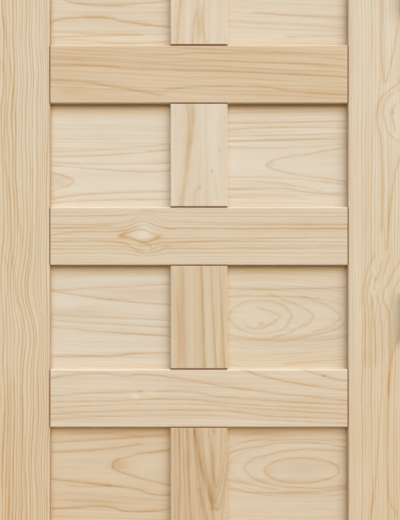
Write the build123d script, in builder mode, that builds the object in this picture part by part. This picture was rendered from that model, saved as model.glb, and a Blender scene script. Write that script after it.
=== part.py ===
from build123d import *
import os
from math import atan, degrees, radians, tan

# A panelled exterior door of solid pine, hung on three butt hinges in its own rabbeted frame.
# X runs across the doorway from the hinges to the lock side, Y from outdoors to indoors, Z up.
# The origin is the middle of the sill's underside, halfway through the depth of the jambs.

# Door leaf
leaf_width = 908
leaf_height = 2007
leaf_thickness = 44
stile_width = 125
mullion_width = 126
top_rail_height = 128
cross_rail_height = 128
bottom_rail_height = 220
row_count = 5
panel_thickness = 18
arris = 2
lock_edge_bevel = 2.3

# Joints inside the leaf
groove_depth = 14
groove_clearance = 0.15
panel_play = 2.5
panel_edge_taper = 1
tongue_play = 0.5
dowel_diameter = 12
dowel_length = 120
dowel_margin = 34
dowel_clearance = 0.1
dowel_end_play = 1
dowels_per_rail_end = 2
dowels_per_bottom_rail_end = 3

# Gaps around the closed leaf
edge_gap = 3
head_gap = 3
bottom_gap = 8
seal_gap = 10

# Jambs and head
jamb_depth = 116
jamb_thickness = 32
rabbet_depth = 12.5
jamb_arris = 2
seal_kerf_width = 3
seal_kerf_depth = 10
seal_kerf_offset = 4
fixing_hole_diameter = 8
fixing_setback = 30
fixing_end_distance = 250
fixing_spacing = 500

# Sill
sill_height = 38
sill_shoulder_height = 27
sill_nose_height = 14
sill_nose_projection = 27
sill_nose_radius = 4
sill_deck_thickness = 2
sill_dam_height = 34
sill_cap_inset = 1
sill_cap_radius = 3
sill_fit = 0.2
deck_rib_count = 6
deck_rib_width = 2
deck_rib_height = 0.8
deck_rib_spacing = 9
deck_rib_start = 14

# Seals between the leaf and the frame
seal_width = 11
seal_corner_radius = 4
seal_clearance = 0.3
seal_fin_clearance = 0.3
seal_fin_length = 8

# Sweep in the bottom edge of the leaf
sweep_inset = 3
sweep_plate_thickness = 2
sweep_kerf_width = 3
sweep_kerf_depth = 12
sweep_kerf_setback = 9
sweep_barb_clearance = 0.3
sweep_barb_length = 10
sweep_fin_count = 3
sweep_fin_thickness = 1.5
sweep_fin_lean = 4
sweep_clearance = 0.3

# Butt hinges
hinge_height = 102
hinge_reach = 51
hinge_plate_thickness = 3
hinge_backset = 6
hinge_corner_radius = 16
hinge_top_distance = 178
hinge_bottom_distance = 279
mortise_clearance = 0.2
knuckle_count = 5
knuckle_wall = 3
knuckle_gap = 0.4
knuckle_notch = 0.6
pin_diameter = 8
pin_clearance = 0.06
pin_head_diameter = 13
pin_head_height = 4
pin_tip_length = 2
hinge_screw_reach_shares = (0.44, 0.74, 0.74, 0.44)
hinge_screw_level_shares = (-0.37, -0.14, 0.14, 0.37)

# Screws
countersink_angle = 82
screw_clearance = 0.1
screw_end_play = 1
hinge_screw_diameter = 4.6
hinge_screw_head_diameter = 9
hinge_door_screw_length = 26
hinge_jamb_screw_length = 18
frame_screw_diameter = 5
frame_screw_head_diameter = 10
frame_screw_length = 64
frame_screw_count = 3
frame_screw_margin = 20
sill_screw_level = 11
sill_screw_setback = 26
cap_screw_diameter = 4
cap_screw_head_diameter = 8
cap_screw_length = 28
cap_screw_count = 4
cap_screw_end_distance = 70

# Cuts run this far past the faces that they open
overrun = 5

# Places worked out from the sizes above
half_leaf = leaf_width / 2
opening_width = leaf_width - 2 * stile_width
half_opening = opening_width / 2
rabbet_half = half_leaf + edge_gap
stop_half = rabbet_half - rabbet_depth
back_half = stop_half + jamb_thickness
jamb_front = -jamb_depth / 2
jamb_back = jamb_depth / 2
leaf_back = jamb_back
leaf_front = leaf_back - leaf_thickness
leaf_middle = (leaf_front + leaf_back) / 2
stop_face = leaf_front - seal_gap
leaf_bottom = sill_height + bottom_gap
leaf_top = leaf_bottom + leaf_height
head_rabbet = leaf_top + head_gap
head_stop = head_rabbet - rabbet_depth
frame_top = head_stop + jamb_thickness

row_height = (
    leaf_height - top_rail_height - bottom_rail_height - (row_count - 1) * cross_rail_height
) / row_count
row_pitch = row_height + cross_rail_height
row_tops = [leaf_top - top_rail_height - i * row_pitch for i in range(row_count)]
row_middles = [top - row_height / 2 for top in row_tops]
cross_rail_middles = [top - row_height - cross_rail_height / 2 for top in row_tops[:-1]]
panel_sight_width = (opening_width - mullion_width) / 2
panel_offset = (mullion_width + panel_sight_width) / 2
groove_width = panel_thickness + 2 * groove_clearance
tongue_length = groove_depth - tongue_play
panel_edge = groove_depth - panel_play

barrel_radius = pin_diameter / 2 + pin_clearance + knuckle_wall
bore_radius = pin_diameter / 2 + pin_clearance
pin_x = -half_leaf - edge_gap / 2
pin_y = leaf_front + hinge_backset + hinge_reach
plate_back = pin_y - barrel_radius - knuckle_notch
knuckle_length = (hinge_height - (knuckle_count - 1) * knuckle_gap) / knuckle_count
hinge_top_middle = leaf_top - hinge_top_distance - hinge_height / 2
hinge_bottom_middle = leaf_bottom + hinge_bottom_distance + hinge_height / 2
hinge_middles = {
    "top": hinge_top_middle,
    "middle": (hinge_top_middle + hinge_bottom_middle) / 2,
    "bottom": hinge_bottom_middle,
}

sill_nose = jamb_front - sill_nose_projection
sill_shelf = sill_shoulder_height - sill_deck_thickness
dam_back = stop_face + sill_deck_thickness
cap_front = dam_back + sill_fit
cap_back = jamb_back - sill_cap_inset
cap_middle = (cap_front + cap_back) / 2
deck_slope = (sill_shoulder_height - sill_nose_height) / (stop_face - sill_nose)
deck_slope_angle = degrees(atan(deck_slope))


def deck_level(y):
    """Height of the deck's walking surface at one depth."""
    return sill_nose_height + deck_slope * (y - sill_nose)


def dowel_levels(middle, height, count):
    """Heights of the dowels in one rail end, spread evenly between the margins."""
    span = height - 2 * dowel_margin
    return [middle - span / 2 + i * span / (count - 1) for i in range(count)]


rail_dowel_levels = {
    "top_rail": dowel_levels(leaf_top - top_rail_height / 2, top_rail_height, dowels_per_rail_end),
    "bottom_rail": dowel_levels(
        leaf_bottom + bottom_rail_height / 2, bottom_rail_height, dowels_per_bottom_rail_end
    ),
}
for i, middle in enumerate(cross_rail_middles):
    rail_dowel_levels[f"cross_rail_{i + 1}"] = dowel_levels(
        middle, cross_rail_height, dowels_per_rail_end
    )
all_dowel_levels = [level for levels in rail_dowel_levels.values() for level in levels]

fixing_levels = (
    fixing_end_distance,
    fixing_end_distance + fixing_spacing,
    frame_top - fixing_end_distance - fixing_spacing,
    frame_top - fixing_end_distance,
)
head_screw_step = (jamb_depth - 2 * frame_screw_margin) / (frame_screw_count - 1)
head_screw_level = (head_rabbet + frame_top) / 2
frame_screw_spots = [
    (jamb_front + frame_screw_margin + i * head_screw_step, head_screw_level)
    for i in range(frame_screw_count)
] + [(-sill_screw_setback, sill_screw_level), (sill_screw_setback, sill_screw_level)]
cap_screw_step = 2 * (rabbet_half - cap_screw_end_distance) / (cap_screw_count - 1)
cap_screw_seats = [
    Plane(origin=(-rabbet_half + cap_screw_end_distance + i * cap_screw_step, cap_middle, sill_height))
    for i in range(cap_screw_count)
]
sweep_kerf_places = (leaf_front + sweep_kerf_setback, leaf_back - sweep_kerf_setback)


def hinge_screw_seats(middle, side):
    """Planes on the open face of one hinge leaf where its screw heads lie."""
    face = pin_x + side * edge_gap / 2
    return [
        Plane(
            origin=(face, pin_y - reach * hinge_reach, middle + level * hinge_height),
            z_dir=(-side, 0, 0),
        )
        for reach, level in zip(hinge_screw_reach_shares, hinge_screw_level_shares)
    ]


def frame_screw_seats(side):
    """Planes on the back of one side jamb where the frame screws go in."""
    return [
        Plane(origin=(side * back_half, depth, level), z_dir=(side, 0, 0))
        for depth, level in frame_screw_spots
    ]


def save(piece, name):
    """Label one finished piece and write it as its own file."""
    piece.label = name
    export_step(piece, f"parts/{name}.step")


def cut_dowel_holes(joint_faces, levels):
    """Bore for the dowels across the joint faces between the stiles and the rails."""
    with Locations(*[(face, leaf_middle, level) for face in joint_faces for level in levels]):
        Cylinder(
            dowel_diameter / 2 + dowel_clearance,
            dowel_length + 2 * dowel_end_play,
            rotation=(0, 90, 0),
            mode=Mode.SUBTRACT,
        )


def cut_sweep_kerfs():
    """Saw the two kerfs along the bottom edge that hold the sweep's barbs."""
    with Locations(*[(0, place, leaf_bottom) for place in sweep_kerf_places]):
        Box(leaf_width + overrun, sweep_kerf_width, 2 * sweep_kerf_depth, mode=Mode.SUBTRACT)


def draw_hinge_outline(sketch, middle, back, grow):
    """Outline of a hinge leaf, square at the knuckles and rounded at its free corners."""
    free_edge = pin_y - hinge_reach - grow
    with Locations(((free_edge + back) / 2, middle)):
        Rectangle(back - free_edge, hinge_height + 2 * grow)
    fillet(sketch.vertices().group_by(Axis.X)[0], hinge_corner_radius + grow)


def cut_hinge_mortises(side, screw_length):
    """Sink the three hinge leaves flush into an edge and bore for their screws."""
    for middle in hinge_middles.values():
        with BuildSketch(Plane.YZ.offset(pin_x + side * edge_gap / 2)) as pocket:
            draw_hinge_outline(pocket, middle, leaf_back + overrun, mortise_clearance)
        extrude(pocket.sketch, amount=side * hinge_plate_thickness, mode=Mode.SUBTRACT)
        with Locations(*hinge_screw_seats(middle, side)):
            Hole(hinge_screw_diameter / 2 + screw_clearance, screw_length + screw_end_play)


def make_stile(side, edge_bevel):
    """A full-height stile, grooved along its inner edge."""
    outer = side * half_leaf
    inner = side * half_opening
    with BuildPart() as stile:
        with BuildSketch(Plane.XY.offset(leaf_bottom)) as section:
            with BuildLine():
                Polyline(
                    (inner, leaf_front),
                    (outer - side * edge_bevel, leaf_front),
                    (outer, leaf_back),
                    (inner, leaf_back),
                    close=True,
                )
            make_face()
            chamfer(section.vertices(), arris)
            with Locations((inner, leaf_middle)):
                Rectangle(2 * groove_depth, groove_width, mode=Mode.SUBTRACT)
        extrude(amount=leaf_height)
        cut_dowel_holes([inner], all_dowel_levels)
        cut_sweep_kerfs()
        if edge_bevel == 0:
            cut_hinge_mortises(-side, hinge_door_screw_length)
    return stile.part


def make_rail(middle, height, grooved_edges, dowels):
    """A rail between the stiles, with a tongue on each end and a groove along the panel edges."""
    with BuildPart() as rail:
        with Locations((0, leaf_middle, middle)):
            Box(opening_width, leaf_thickness, height)
        chamfer(rail.faces().filter_by(Axis.Y).edges(), arris)
        with Locations((0, leaf_middle, middle)):
            Box(opening_width + 2 * tongue_length, panel_thickness, height)
        with Locations(*[(0, leaf_middle, middle + edge * height / 2) for edge in grooved_edges]):
            Box(
                opening_width + 2 * groove_depth,
                groove_width,
                2 * groove_depth,
                mode=Mode.SUBTRACT,
            )
        cut_dowel_holes([-half_opening, half_opening], dowels)
    return rail.part


def make_mullion(middle):
    """A short upright between two rails, grooved for the panels on both sides."""
    with BuildPart() as mullion:
        with Locations((0, leaf_middle, middle)):
            Box(mullion_width, leaf_thickness, row_height)
        chamfer(mullion.faces().filter_by(Axis.Y).edges(), arris)
        with Locations((0, leaf_middle, middle)):
            Box(mullion_width, panel_thickness, row_height + 2 * tongue_length)
        with Locations(*[(side * mullion_width / 2, leaf_middle, middle) for side in (-1, 1)]):
            Box(
                2 * groove_depth,
                groove_width,
                row_height + 2 * groove_depth,
                mode=Mode.SUBTRACT,
            )
    return mullion.part


def make_panel(side, middle):
    """A flat panel, loose in the grooves around it so that it can swell and shrink."""
    with BuildPart() as panel:
        with BuildSketch(Plane.XZ.offset(-leaf_middle)):
            with Locations((side * panel_offset, middle)):
                Rectangle(panel_sight_width + 2 * panel_edge, row_height + 2 * panel_edge)
        extrude(amount=panel_thickness / 2, both=True)
        chamfer(panel.faces().filter_by(Axis.Y).edges(), panel_edge_taper)
    return panel.part


def make_hinge_leaf(middle, side, first_knuckle):
    """One hinge leaf: a flat plate with every other knuckle of the barrel rolled onto it."""
    face = pin_x + side * edge_gap / 2
    strap_length = pin_y - plate_back
    with BuildPart() as leaf:
        with BuildSketch(Plane.YZ.offset(face)) as outline:
            draw_hinge_outline(outline, middle, plate_back, 0)
        extrude(amount=side * hinge_plate_thickness)
        for i in range(first_knuckle, knuckle_count, 2):
            knuckle_low = middle - hinge_height / 2 + i * (knuckle_length + knuckle_gap)
            with BuildSketch(Plane.XY.offset(knuckle_low)):
                with Locations((pin_x, pin_y)):
                    Circle(barrel_radius)
                with Locations((face + side * hinge_plate_thickness / 2, pin_y - strap_length / 2)):
                    Rectangle(hinge_plate_thickness, strap_length)
            extrude(amount=knuckle_length)
        with Locations((pin_x, pin_y, middle)):
            Cylinder(bore_radius, hinge_height + overrun, mode=Mode.SUBTRACT)
        with Locations(*hinge_screw_seats(middle, side)):
            CounterSinkHole(
                hinge_screw_diameter / 2 + screw_clearance,
                hinge_screw_head_diameter / 2 + screw_clearance,
                hinge_plate_thickness + overrun,
                countersink_angle,
            )
    return leaf.part


def make_hinge_pin(middle):
    """A hinge pin with a rounded button head and a tapered tip."""
    radius = pin_diameter / 2
    pin_plane = Plane(origin=(pin_x, pin_y, middle), x_dir=(1, 0, 0), z_dir=(0, -1, 0))
    with BuildPart() as pin:
        with BuildSketch(pin_plane) as profile:
            with BuildLine():
                Polyline(
                    (0, -hinge_height / 2 - pin_tip_length),
                    (radius, -hinge_height / 2 - pin_tip_length),
                    (radius, hinge_height / 2),
                    (pin_head_diameter / 2, hinge_height / 2),
                    (pin_head_diameter / 2, hinge_height / 2 + pin_head_height),
                    (0, hinge_height / 2 + pin_head_height),
                    close=True,
                )
            make_face()
            rim = profile.vertices().group_by(Axis.X)[-1].sort_by(Axis.Y)[-1]
            tip = profile.vertices().group_by(Axis.X)[1].sort_by(Axis.Y)[0]
            fillet(rim, pin_head_height / 2)
            chamfer(tip, radius / 2)
        revolve(axis=Axis((pin_x, pin_y, middle), (0, 0, 1)))
    return pin.part


def make_screw(diameter, head_diameter, length):
    """A countersunk screw, pointing down from a head whose top lies at the origin."""
    head_height = (head_diameter - diameter) / 2 / tan(radians(countersink_angle / 2))
    with BuildPart() as screw:
        with BuildSketch(Plane.XZ):
            with BuildLine():
                Polyline(
                    (0, 0),
                    (head_diameter / 2, 0),
                    (diameter / 2, -head_height),
                    (diameter / 2, -length + diameter),
                    (0, -length),
                    close=True,
                )
            make_face()
        revolve(axis=Axis.Z)
    return screw.part


def make_screw_group(screw, seats):
    """The same screw driven into each of its seats."""
    with BuildPart() as group:
        with Locations(*seats):
            add(screw)
    return group.part


def seal_plane(side):
    """Plane across one side seal: local X away from the stop, local Y into the doorway."""
    end = frame_top + overrun if side < 0 else -overrun
    return Plane(origin=(side * rabbet_half, stop_face, end), x_dir=(0, 1, 0), z_dir=(0, 0, side))


def head_seal_plane():
    """Plane across the head seal: local X away from the stop, local Y down into the doorway."""
    return Plane(
        origin=(rabbet_half, stop_face, head_rabbet), x_dir=(0, 1, 0), z_dir=(-1, 0, 0)
    )


def cut_seal_kerf(plane, length):
    """Saw the kerf in the stop that grips the fin of a seal."""
    with BuildSketch(plane) as kerf:
        with Locations((0, seal_kerf_offset + seal_kerf_width / 2)):
            Rectangle(2 * seal_kerf_depth, seal_kerf_width)
    extrude(kerf.sketch, amount=length, mode=Mode.SUBTRACT)


def make_seal(plane, length):
    """A compression seal: a soft cushion against the leaf and a fin pushed into the kerf."""
    reach = seal_gap - seal_clearance
    fin_thickness = seal_kerf_width - 2 * seal_fin_clearance
    with BuildPart() as seal:
        with BuildSketch(plane) as section:
            with Locations((reach / 2, seal_clearance + seal_width / 2)):
                Rectangle(reach, seal_width)
            fillet(section.vertices().group_by(Axis.X)[-1], seal_corner_radius)
            with Locations((-seal_fin_length / 2, seal_kerf_offset + seal_kerf_width / 2)):
                Rectangle(seal_fin_length, fin_thickness)
        extrude(amount=length)
    return seal.part


def make_side_jamb(side):
    """A side jamb rabbeted from one piece, notched for the head and scribed over the sill."""
    with BuildPart() as jamb:
        with BuildSketch() as section:
            with BuildLine():
                Polyline(
                    (side * back_half, jamb_front),
                    (side * stop_half, jamb_front),
                    (side * stop_half, stop_face),
                    (side * rabbet_half, stop_face),
                    (side * rabbet_half, jamb_back),
                    (side * back_half, jamb_back),
                    close=True,
                )
            make_face()
            groups = section.vertices().group_by(lambda corner: abs(corner.X))
            chamfer(groups[0] + groups[1].sort_by(Axis.Y)[-1:], jamb_arris)
        extrude(amount=frame_top)
        cut_seal_kerf(seal_plane(side), frame_top + 2 * overrun)
        with BuildSketch(Plane.YZ.offset(side * rabbet_half)):
            with BuildLine():
                Polyline(
                    (jamb_front - overrun, -overrun),
                    (stop_face + overrun, -overrun),
                    (stop_face + overrun, deck_level(stop_face + overrun) + sill_fit),
                    (jamb_front - overrun, deck_level(jamb_front - overrun) + sill_fit),
                    close=True,
                )
            make_face()
            with Locations((jamb_front - overrun, head_stop)):
                Rectangle(
                    jamb_depth,
                    jamb_thickness + overrun,
                    align=(Align.MIN, Align.MIN),
                )
        extrude(amount=-side * (rabbet_depth + overrun), mode=Mode.SUBTRACT)
        with Locations(
            *[
                Plane(origin=(side * back_half, jamb_front + fixing_setback, level), z_dir=(side, 0, 0))
                for level in fixing_levels
            ]
        ):
            Hole(fixing_hole_diameter / 2, jamb_thickness + overrun)
        with Locations(*frame_screw_seats(side)):
            CounterSinkHole(
                frame_screw_diameter / 2 + screw_clearance,
                frame_screw_head_diameter / 2 + screw_clearance,
                jamb_thickness + overrun,
                countersink_angle,
            )
        if side < 0:
            cut_hinge_mortises(side, hinge_jamb_screw_length)
    return jamb.part


os.makedirs("parts", exist_ok=True)

# Stiles
save(make_stile(-1, 0), "hinge_stile")
save(make_stile(1, lock_edge_bevel), "lock_stile")

# Rails from the top down
save(
    make_rail(
        leaf_top - top_rail_height / 2, top_rail_height, [-1], rail_dowel_levels["top_rail"]
    ),
    "top_rail",
)
for i, middle in enumerate(cross_rail_middles):
    name = f"cross_rail_{i + 1}"
    save(make_rail(middle, cross_rail_height, [-1, 1], rail_dowel_levels[name]), name)

with BuildPart() as bottom_rail:
    add(
        make_rail(
            leaf_bottom + bottom_rail_height / 2,
            bottom_rail_height,
            [1],
            rail_dowel_levels["bottom_rail"],
        )
    )
    cut_sweep_kerfs()
save(bottom_rail.part, "bottom_rail")

# Mullions and panels, one row after another from the top
for i, middle in enumerate(row_middles):
    save(make_mullion(middle), f"mullion_{i + 1}")
    save(make_panel(-1, middle), f"panel_left_{i + 1}")
    save(make_panel(1, middle), f"panel_right_{i + 1}")

# Dowels across every joint between a stile and a rail
with BuildPart() as rail_dowels:
    with Locations(
        *[
            (face, leaf_middle, level)
            for face in (-half_opening, half_opening)
            for level in all_dowel_levels
        ]
    ):
        Cylinder(dowel_diameter / 2, dowel_length, rotation=(0, 90, 0))
save(rail_dowels.part, "rail_dowels")

# Sweep: a plate under the leaf, two barbs up into the kerfs and a row of soft slanted fins
with BuildPart() as door_bottom_sweep:
    with BuildSketch(Plane.YZ.offset(-half_leaf + arris)):
        with Locations((leaf_middle, leaf_bottom)):
            Rectangle(
                leaf_thickness - 2 * sweep_inset,
                sweep_plate_thickness,
                align=(Align.CENTER, Align.MAX),
            )
        with Locations(*[(place, leaf_bottom) for place in sweep_kerf_places]):
            Rectangle(
                sweep_kerf_width - 2 * sweep_barb_clearance,
                sweep_barb_length,
                align=(Align.CENTER, Align.MIN),
            )
        fin_top = leaf_bottom - sweep_plate_thickness
        fin_low = sill_height + sweep_clearance
        fin_room = leaf_thickness - 2 * sweep_inset - sweep_fin_thickness - sweep_fin_lean
        for i in range(sweep_fin_count):
            fin_front = leaf_front + sweep_inset + i * fin_room / (sweep_fin_count - 1)
            with BuildLine():
                Polyline(
                    (fin_front + sweep_fin_lean, fin_top),
                    (fin_front + sweep_fin_lean + sweep_fin_thickness, fin_top),
                    (fin_front + sweep_fin_thickness, fin_low),
                    (fin_front, fin_low),
                    close=True,
                )
            make_face()
    extrude(amount=leaf_width - 2 * arris - lock_edge_bevel)
save(door_bottom_sweep.part, "door_bottom_sweep")

# Hinges: the leaf on the jamb takes the outer knuckles, the leaf on the door those between
for place, middle in hinge_middles.items():
    save(make_hinge_leaf(middle, 1, 1), f"hinge_{place}_door_leaf")
    save(make_hinge_leaf(middle, -1, 0), f"hinge_{place}_jamb_leaf")
    save(make_hinge_pin(middle), f"hinge_{place}_pin")

for side, owner, length in (
    (1, "door", hinge_door_screw_length),
    (-1, "jamb", hinge_jamb_screw_length),
):
    hinge_screw = make_screw(hinge_screw_diameter, hinge_screw_head_diameter, length)
    seats = [seat for middle in hinge_middles.values() for seat in hinge_screw_seats(middle, side)]
    save(make_screw_group(hinge_screw, seats), f"hinge_{owner}_screws")

# Side jambs and head
save(make_side_jamb(-1), "hinge_jamb")
save(make_side_jamb(1), "lock_jamb")

with BuildPart() as head_jamb:
    with BuildSketch(Plane.YZ.offset(-rabbet_half)) as head_section:
        with BuildLine():
            Polyline(
                (jamb_front, frame_top),
                (jamb_front, head_stop),
                (stop_face, head_stop),
                (stop_face, head_rabbet),
                (jamb_back, head_rabbet),
                (jamb_back, frame_top),
                close=True,
            )
        make_face()
        levels = head_section.vertices().group_by(Axis.Y)
        chamfer(levels[0] + levels[1].sort_by(Axis.X)[-1:], jamb_arris)
    extrude(amount=2 * rabbet_half)
    cut_seal_kerf(head_seal_plane(), 2 * rabbet_half)
    with Locations(*frame_screw_seats(-1), *frame_screw_seats(1)):
        Hole(frame_screw_diameter / 2 + screw_clearance, frame_screw_length + screw_end_play)
save(head_jamb.part, "head_jamb")

# Seals: the head seal runs right across, the side seals reach up to it
side_seal_low = sill_height + seal_clearance
side_seal_top = min(head_stop, head_rabbet - seal_clearance - seal_width) - seal_clearance
side_seal_length = side_seal_top - side_seal_low
hinge_seal_plane = seal_plane(-1).offset(frame_top + overrun - side_seal_top)
lock_seal_plane = seal_plane(1).offset(side_seal_low + overrun)
head_seal_length = 2 * rabbet_half - 2 * seal_clearance
save(make_seal(hinge_seal_plane, side_seal_length), "weatherstrip_hinge_side")
save(make_seal(lock_seal_plane, side_seal_length), "weatherstrip_lock_side")
save(make_seal(head_seal_plane().offset(seal_clearance), head_seal_length), "weatherstrip_head")

# Sill: a core under a sloping metal deck, whose upturned back edge stands before the cap
with BuildPart() as sill_base:
    with BuildSketch(Plane.YZ.offset(-rabbet_half)):
        with BuildLine():
            Polyline(
                (sill_nose + sill_deck_thickness, 0),
                (jamb_back, 0),
                (jamb_back, sill_shelf),
                (stop_face, sill_shelf),
                (sill_nose + sill_deck_thickness, sill_nose_height - sill_deck_thickness),
                close=True,
            )
        make_face()
    extrude(amount=2 * rabbet_half)
    with Locations(*frame_screw_seats(-1), *frame_screw_seats(1)):
        Hole(frame_screw_diameter / 2 + screw_clearance, frame_screw_length + screw_end_play)
    with Locations(*cap_screw_seats):
        Hole(cap_screw_diameter / 2 + screw_clearance, cap_screw_length + screw_end_play)
save(sill_base.part, "sill_base")

with BuildPart() as sill_deck:
    with BuildSketch(Plane.YZ.offset(-rabbet_half)) as deck_section:
        with BuildLine():
            Polyline(
                (sill_nose, 0),
                (sill_nose + sill_deck_thickness, 0),
                (sill_nose + sill_deck_thickness, sill_nose_height - sill_deck_thickness),
                (stop_face, sill_shelf),
                (dam_back, sill_shelf),
                (dam_back, sill_dam_height),
                (stop_face, sill_dam_height),
                (stop_face, sill_shoulder_height),
                (sill_nose, sill_nose_height),
                close=True,
            )
        make_face()
        nose = deck_section.vertices().group_by(Axis.X)[0].sort_by(Axis.Y)[-1]
        fillet(nose, sill_nose_radius)
    extrude(amount=2 * rabbet_half)
    with BuildSketch(Plane.YZ.offset(-stop_half + sill_fit)):
        for i in range(deck_rib_count):
            rib = sill_nose + deck_rib_start + i * deck_rib_spacing
            with Locations((rib, deck_level(rib))):
                Rectangle(deck_rib_width, 2 * deck_rib_height, rotation=deck_slope_angle)
    extrude(amount=2 * (stop_half - sill_fit))
save(sill_deck.part, "sill_deck")

with BuildPart() as sill_cap:
    with BuildSketch(Plane.YZ.offset(-rabbet_half + sill_fit)) as cap_section:
        with Locations((cap_middle, sill_shelf)):
            Rectangle(
                cap_back - cap_front,
                sill_height - sill_shelf,
                align=(Align.CENTER, Align.MIN),
            )
        fillet(cap_section.vertices().group_by(Axis.Y)[-1], sill_cap_radius)
    extrude(amount=2 * (rabbet_half - sill_fit))
    with Locations(*cap_screw_seats):
        CounterSinkHole(
            cap_screw_diameter / 2 + screw_clearance,
            cap_screw_head_diameter / 2 + screw_clearance,
            cap_screw_length + screw_end_play,
            countersink_angle,
        )
save(sill_cap.part, "sill_cap")

# Screws through the sill cap and through the backs of the jambs
cap_screw = make_screw(cap_screw_diameter, cap_screw_head_diameter, cap_screw_length)
save(make_screw_group(cap_screw, cap_screw_seats), "sill_cap_screws")
frame_screw = make_screw(frame_screw_diameter, frame_screw_head_diameter, frame_screw_length)
save(make_screw_group(frame_screw, frame_screw_seats(-1) + frame_screw_seats(1)), "frame_screws")
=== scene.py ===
import math
from collections import namedtuple

import bpy
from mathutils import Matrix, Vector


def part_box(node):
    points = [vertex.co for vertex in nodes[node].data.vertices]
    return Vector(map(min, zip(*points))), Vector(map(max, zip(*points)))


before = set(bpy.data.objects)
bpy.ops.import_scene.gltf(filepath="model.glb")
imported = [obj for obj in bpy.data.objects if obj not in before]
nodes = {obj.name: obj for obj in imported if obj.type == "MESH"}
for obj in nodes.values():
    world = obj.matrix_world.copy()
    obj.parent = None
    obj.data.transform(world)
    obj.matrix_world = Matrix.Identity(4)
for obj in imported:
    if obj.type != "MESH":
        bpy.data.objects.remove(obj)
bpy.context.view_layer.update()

# The photograph looks at the side on which the leaf lies flush with its frame. On that face:
# metres a pixel, and where its middle and its second rail lie in the picture
PIXEL = 0.002205
MID_X = 198.9
RAIL_Y = 236.3
IMAGE_W = 400
IMAGE_H = 520
CAMERA_DISTANCE = 1.4

# The sky's strength and colour, how much brighter it is on the photograph's right, and its share at the
# horizon, straight above and to the two sides, with the heights and turns over which it changes
SKY_LEVEL = 2.93
SKY_COLOUR = (0.985, 1.0, 1.0, 1.0)
SKY_LEAN = 0.78
SKY_LOW = 0.4
SKY_RISE = (0.0, 0.7)
SKY_TOP = 0.2
SKY_CROWN = (0.6, 1.0)
SKY_SIDE = 0.2
SKY_TURN = (0.05, 0.5)
HORIZON = (-0.02, 0.06)

# What the eye sees behind the part and on the floor, and the colour of the light that the floor sends back
BACKDROP = 0.86
FLOOR_HALF = 9.0
FLOOR_Z = -0.0005
FLOOR_COLOUR = (0.42, 0.42, 0.415, 1.0)
FLOOR_GLOW = (0.12, 0.065, 0.02, 1.0)
FLOOR_ROUGHNESS = 0.9

# What the frame gives: the middle of the second rail, the face that the photograph shows, the half widths
# of the opening between the stiles and of a mullion, and the top and bottom of each rail in pixels
rail_low, rail_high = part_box("cross_rail_2")
RAIL_Z = (rail_low.z + rail_high.z) / 2
FACE_Y = rail_high.y
HALF_OPENING = -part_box("hinge_stile")[1].x / PIXEL
HALF_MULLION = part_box("mullion_1")[1].x / PIXEL
RAILS = ["top_rail", "cross_rail_1", "cross_rail_2", "cross_rail_3", "cross_rail_4", "bottom_rail"]
RAIL_EDGES = [
    [RAIL_Y + (RAIL_Z - corner.z) / PIXEL for corner in reversed(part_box(rail))] for rail in RAILS
]


class Num:
    """A number in a node tree. Arithmetic on it adds math nodes."""

    def __init__(self, tree, socket):
        self.tree = tree
        self.socket = socket

    def op(self, kind, *others, clamp=False):
        node = self.tree.nodes.new("ShaderNodeMath")
        node.operation = kind
        node.use_clamp = clamp
        for slot, value in zip(node.inputs, (self,) + others):
            plug(self.tree, slot, value)
        return Num(self.tree, node.outputs[0])

    def __add__(self, other):
        return self.op("ADD", other)

    def __radd__(self, other):
        return self.op("ADD", other)

    def __sub__(self, other):
        return self.op("SUBTRACT", other)

    def __rsub__(self, other):
        return (self * -1).op("ADD", other)

    def __mul__(self, other):
        return self.op("MULTIPLY", other)

    def __truediv__(self, other):
        return self.op("DIVIDE", other)

    def squared(self):
        return self * self

    def sqrt(self):
        return self.op("SQRT")

    def step(self, low, high):
        """Rises smoothly from 0 at low to 1 at high."""
        node = self.tree.nodes.new("ShaderNodeMapRange")
        node.interpolation_type = "SMOOTHSTEP"
        plug(self.tree, node.inputs["Value"], self)
        plug(self.tree, node.inputs["From Min"], low)
        plug(self.tree, node.inputs["From Max"], high)
        return Num(self.tree, node.outputs[0])


def plug(tree, slot, value):
    """Link a number or a socket into a slot, or set the slot to a plain value."""
    if isinstance(value, Num):
        tree.links.new(value.socket, slot)
    elif isinstance(value, bpy.types.NodeSocket):
        tree.links.new(value, slot)
    else:
        slot.default_value = value


def vector(tree, x, y, z):
    node = tree.nodes.new("ShaderNodeCombineXYZ")
    for slot, value in zip(node.inputs, (x, y, z)):
        plug(tree, slot, value)
    return node.outputs[0]


def noise(tree, x, y, z, detail=2.0, rough=0.5):
    """Smooth noise in space, from about -1 to 1."""
    node = tree.nodes.new("ShaderNodeTexNoise")
    plug(tree, node.inputs["Vector"], vector(tree, x, y, z))
    node.inputs["Scale"].default_value = 1.0
    node.inputs["Detail"].default_value = detail
    node.inputs["Roughness"].default_value = rough
    return (Num(tree, node.outputs[0]) - 0.5) * 2.0


def noise_along(tree, w):
    """Smooth noise along a line, from about -1 to 1."""
    node = tree.nodes.new("ShaderNodeTexNoise")
    node.noise_dimensions = "1D"
    plug(tree, node.inputs["W"], w)
    node.inputs["Scale"].default_value = 1.0
    node.inputs["Detail"].default_value = 1.0
    return (Num(tree, node.outputs[0]) - 0.5) * 2.0


def each_random(tree, w):
    """One random number from 0 to 1 for each whole number."""
    node = tree.nodes.new("ShaderNodeTexWhiteNoise")
    node.noise_dimensions = "1D"
    plug(tree, node.inputs["W"], w)
    return Num(tree, node.outputs["Value"])


def linear(rgb):
    """A screen colour from 0 to 255 as a linear colour."""
    parts = [c / 255 for c in rgb]
    return tuple(p / 12.92 if p <= 0.04045 else ((p + 0.055) / 1.055) ** 2.4 for p in parts) + (1.0,)


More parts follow.
